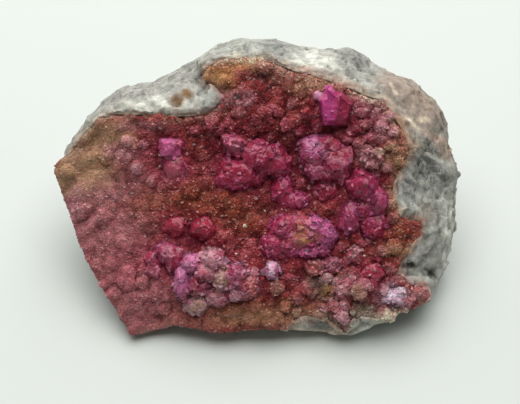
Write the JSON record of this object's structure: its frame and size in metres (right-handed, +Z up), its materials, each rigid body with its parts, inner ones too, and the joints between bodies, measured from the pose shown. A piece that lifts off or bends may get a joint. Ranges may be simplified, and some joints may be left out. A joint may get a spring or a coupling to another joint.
{
  "type": "cobaltoan dolomite specimen",
  "caption": "Lump of grey dolomite rock whose hollow front is lined with red-brown druse and clusters of pink cobaltoan dolomite rhombs.",
  "frame": {"origin": "middle of the specimen's box, on the level break that it rests on", "axes": "+Z up, +X along the specimen's length, -Y towards the side that the crystal-lined face looks to"},
  "size_m": [0.0846, 0.0572, 0.0392],
  "materials": {
    "rock": "rough broken dolomite, mottled grey and white",
    "druse": "fine glittering crystal crust, iron-stained red-brown",
    "crystals": "vitreous to pearly crystal faces, translucent pink"
  },
  "bodies": {
    "root": {"rock_matrix": "rock", "druse_crust": "druse", "magenta_prism": "crystals", "saddle_cluster": "crystals", "raspberry_cluster": "crystals", "right_cluster": "crystals", "tan_ball": "crystals", "left_bead": "crystals", "low_left_cluster": "crystals", "crimson_beads": "crystals", "lilac_cluster": "crystals", "gilded_cluster": "crystals", "lilac_star": "crystals", "coral_ball": "crystals", "amber_ball": "crystals", "rim_crystals": "crystals", "frosted_patch": "crystals", "low_right_bead": "crystals", "mauve_knot": "crystals"}
  },
  "joints": []
}
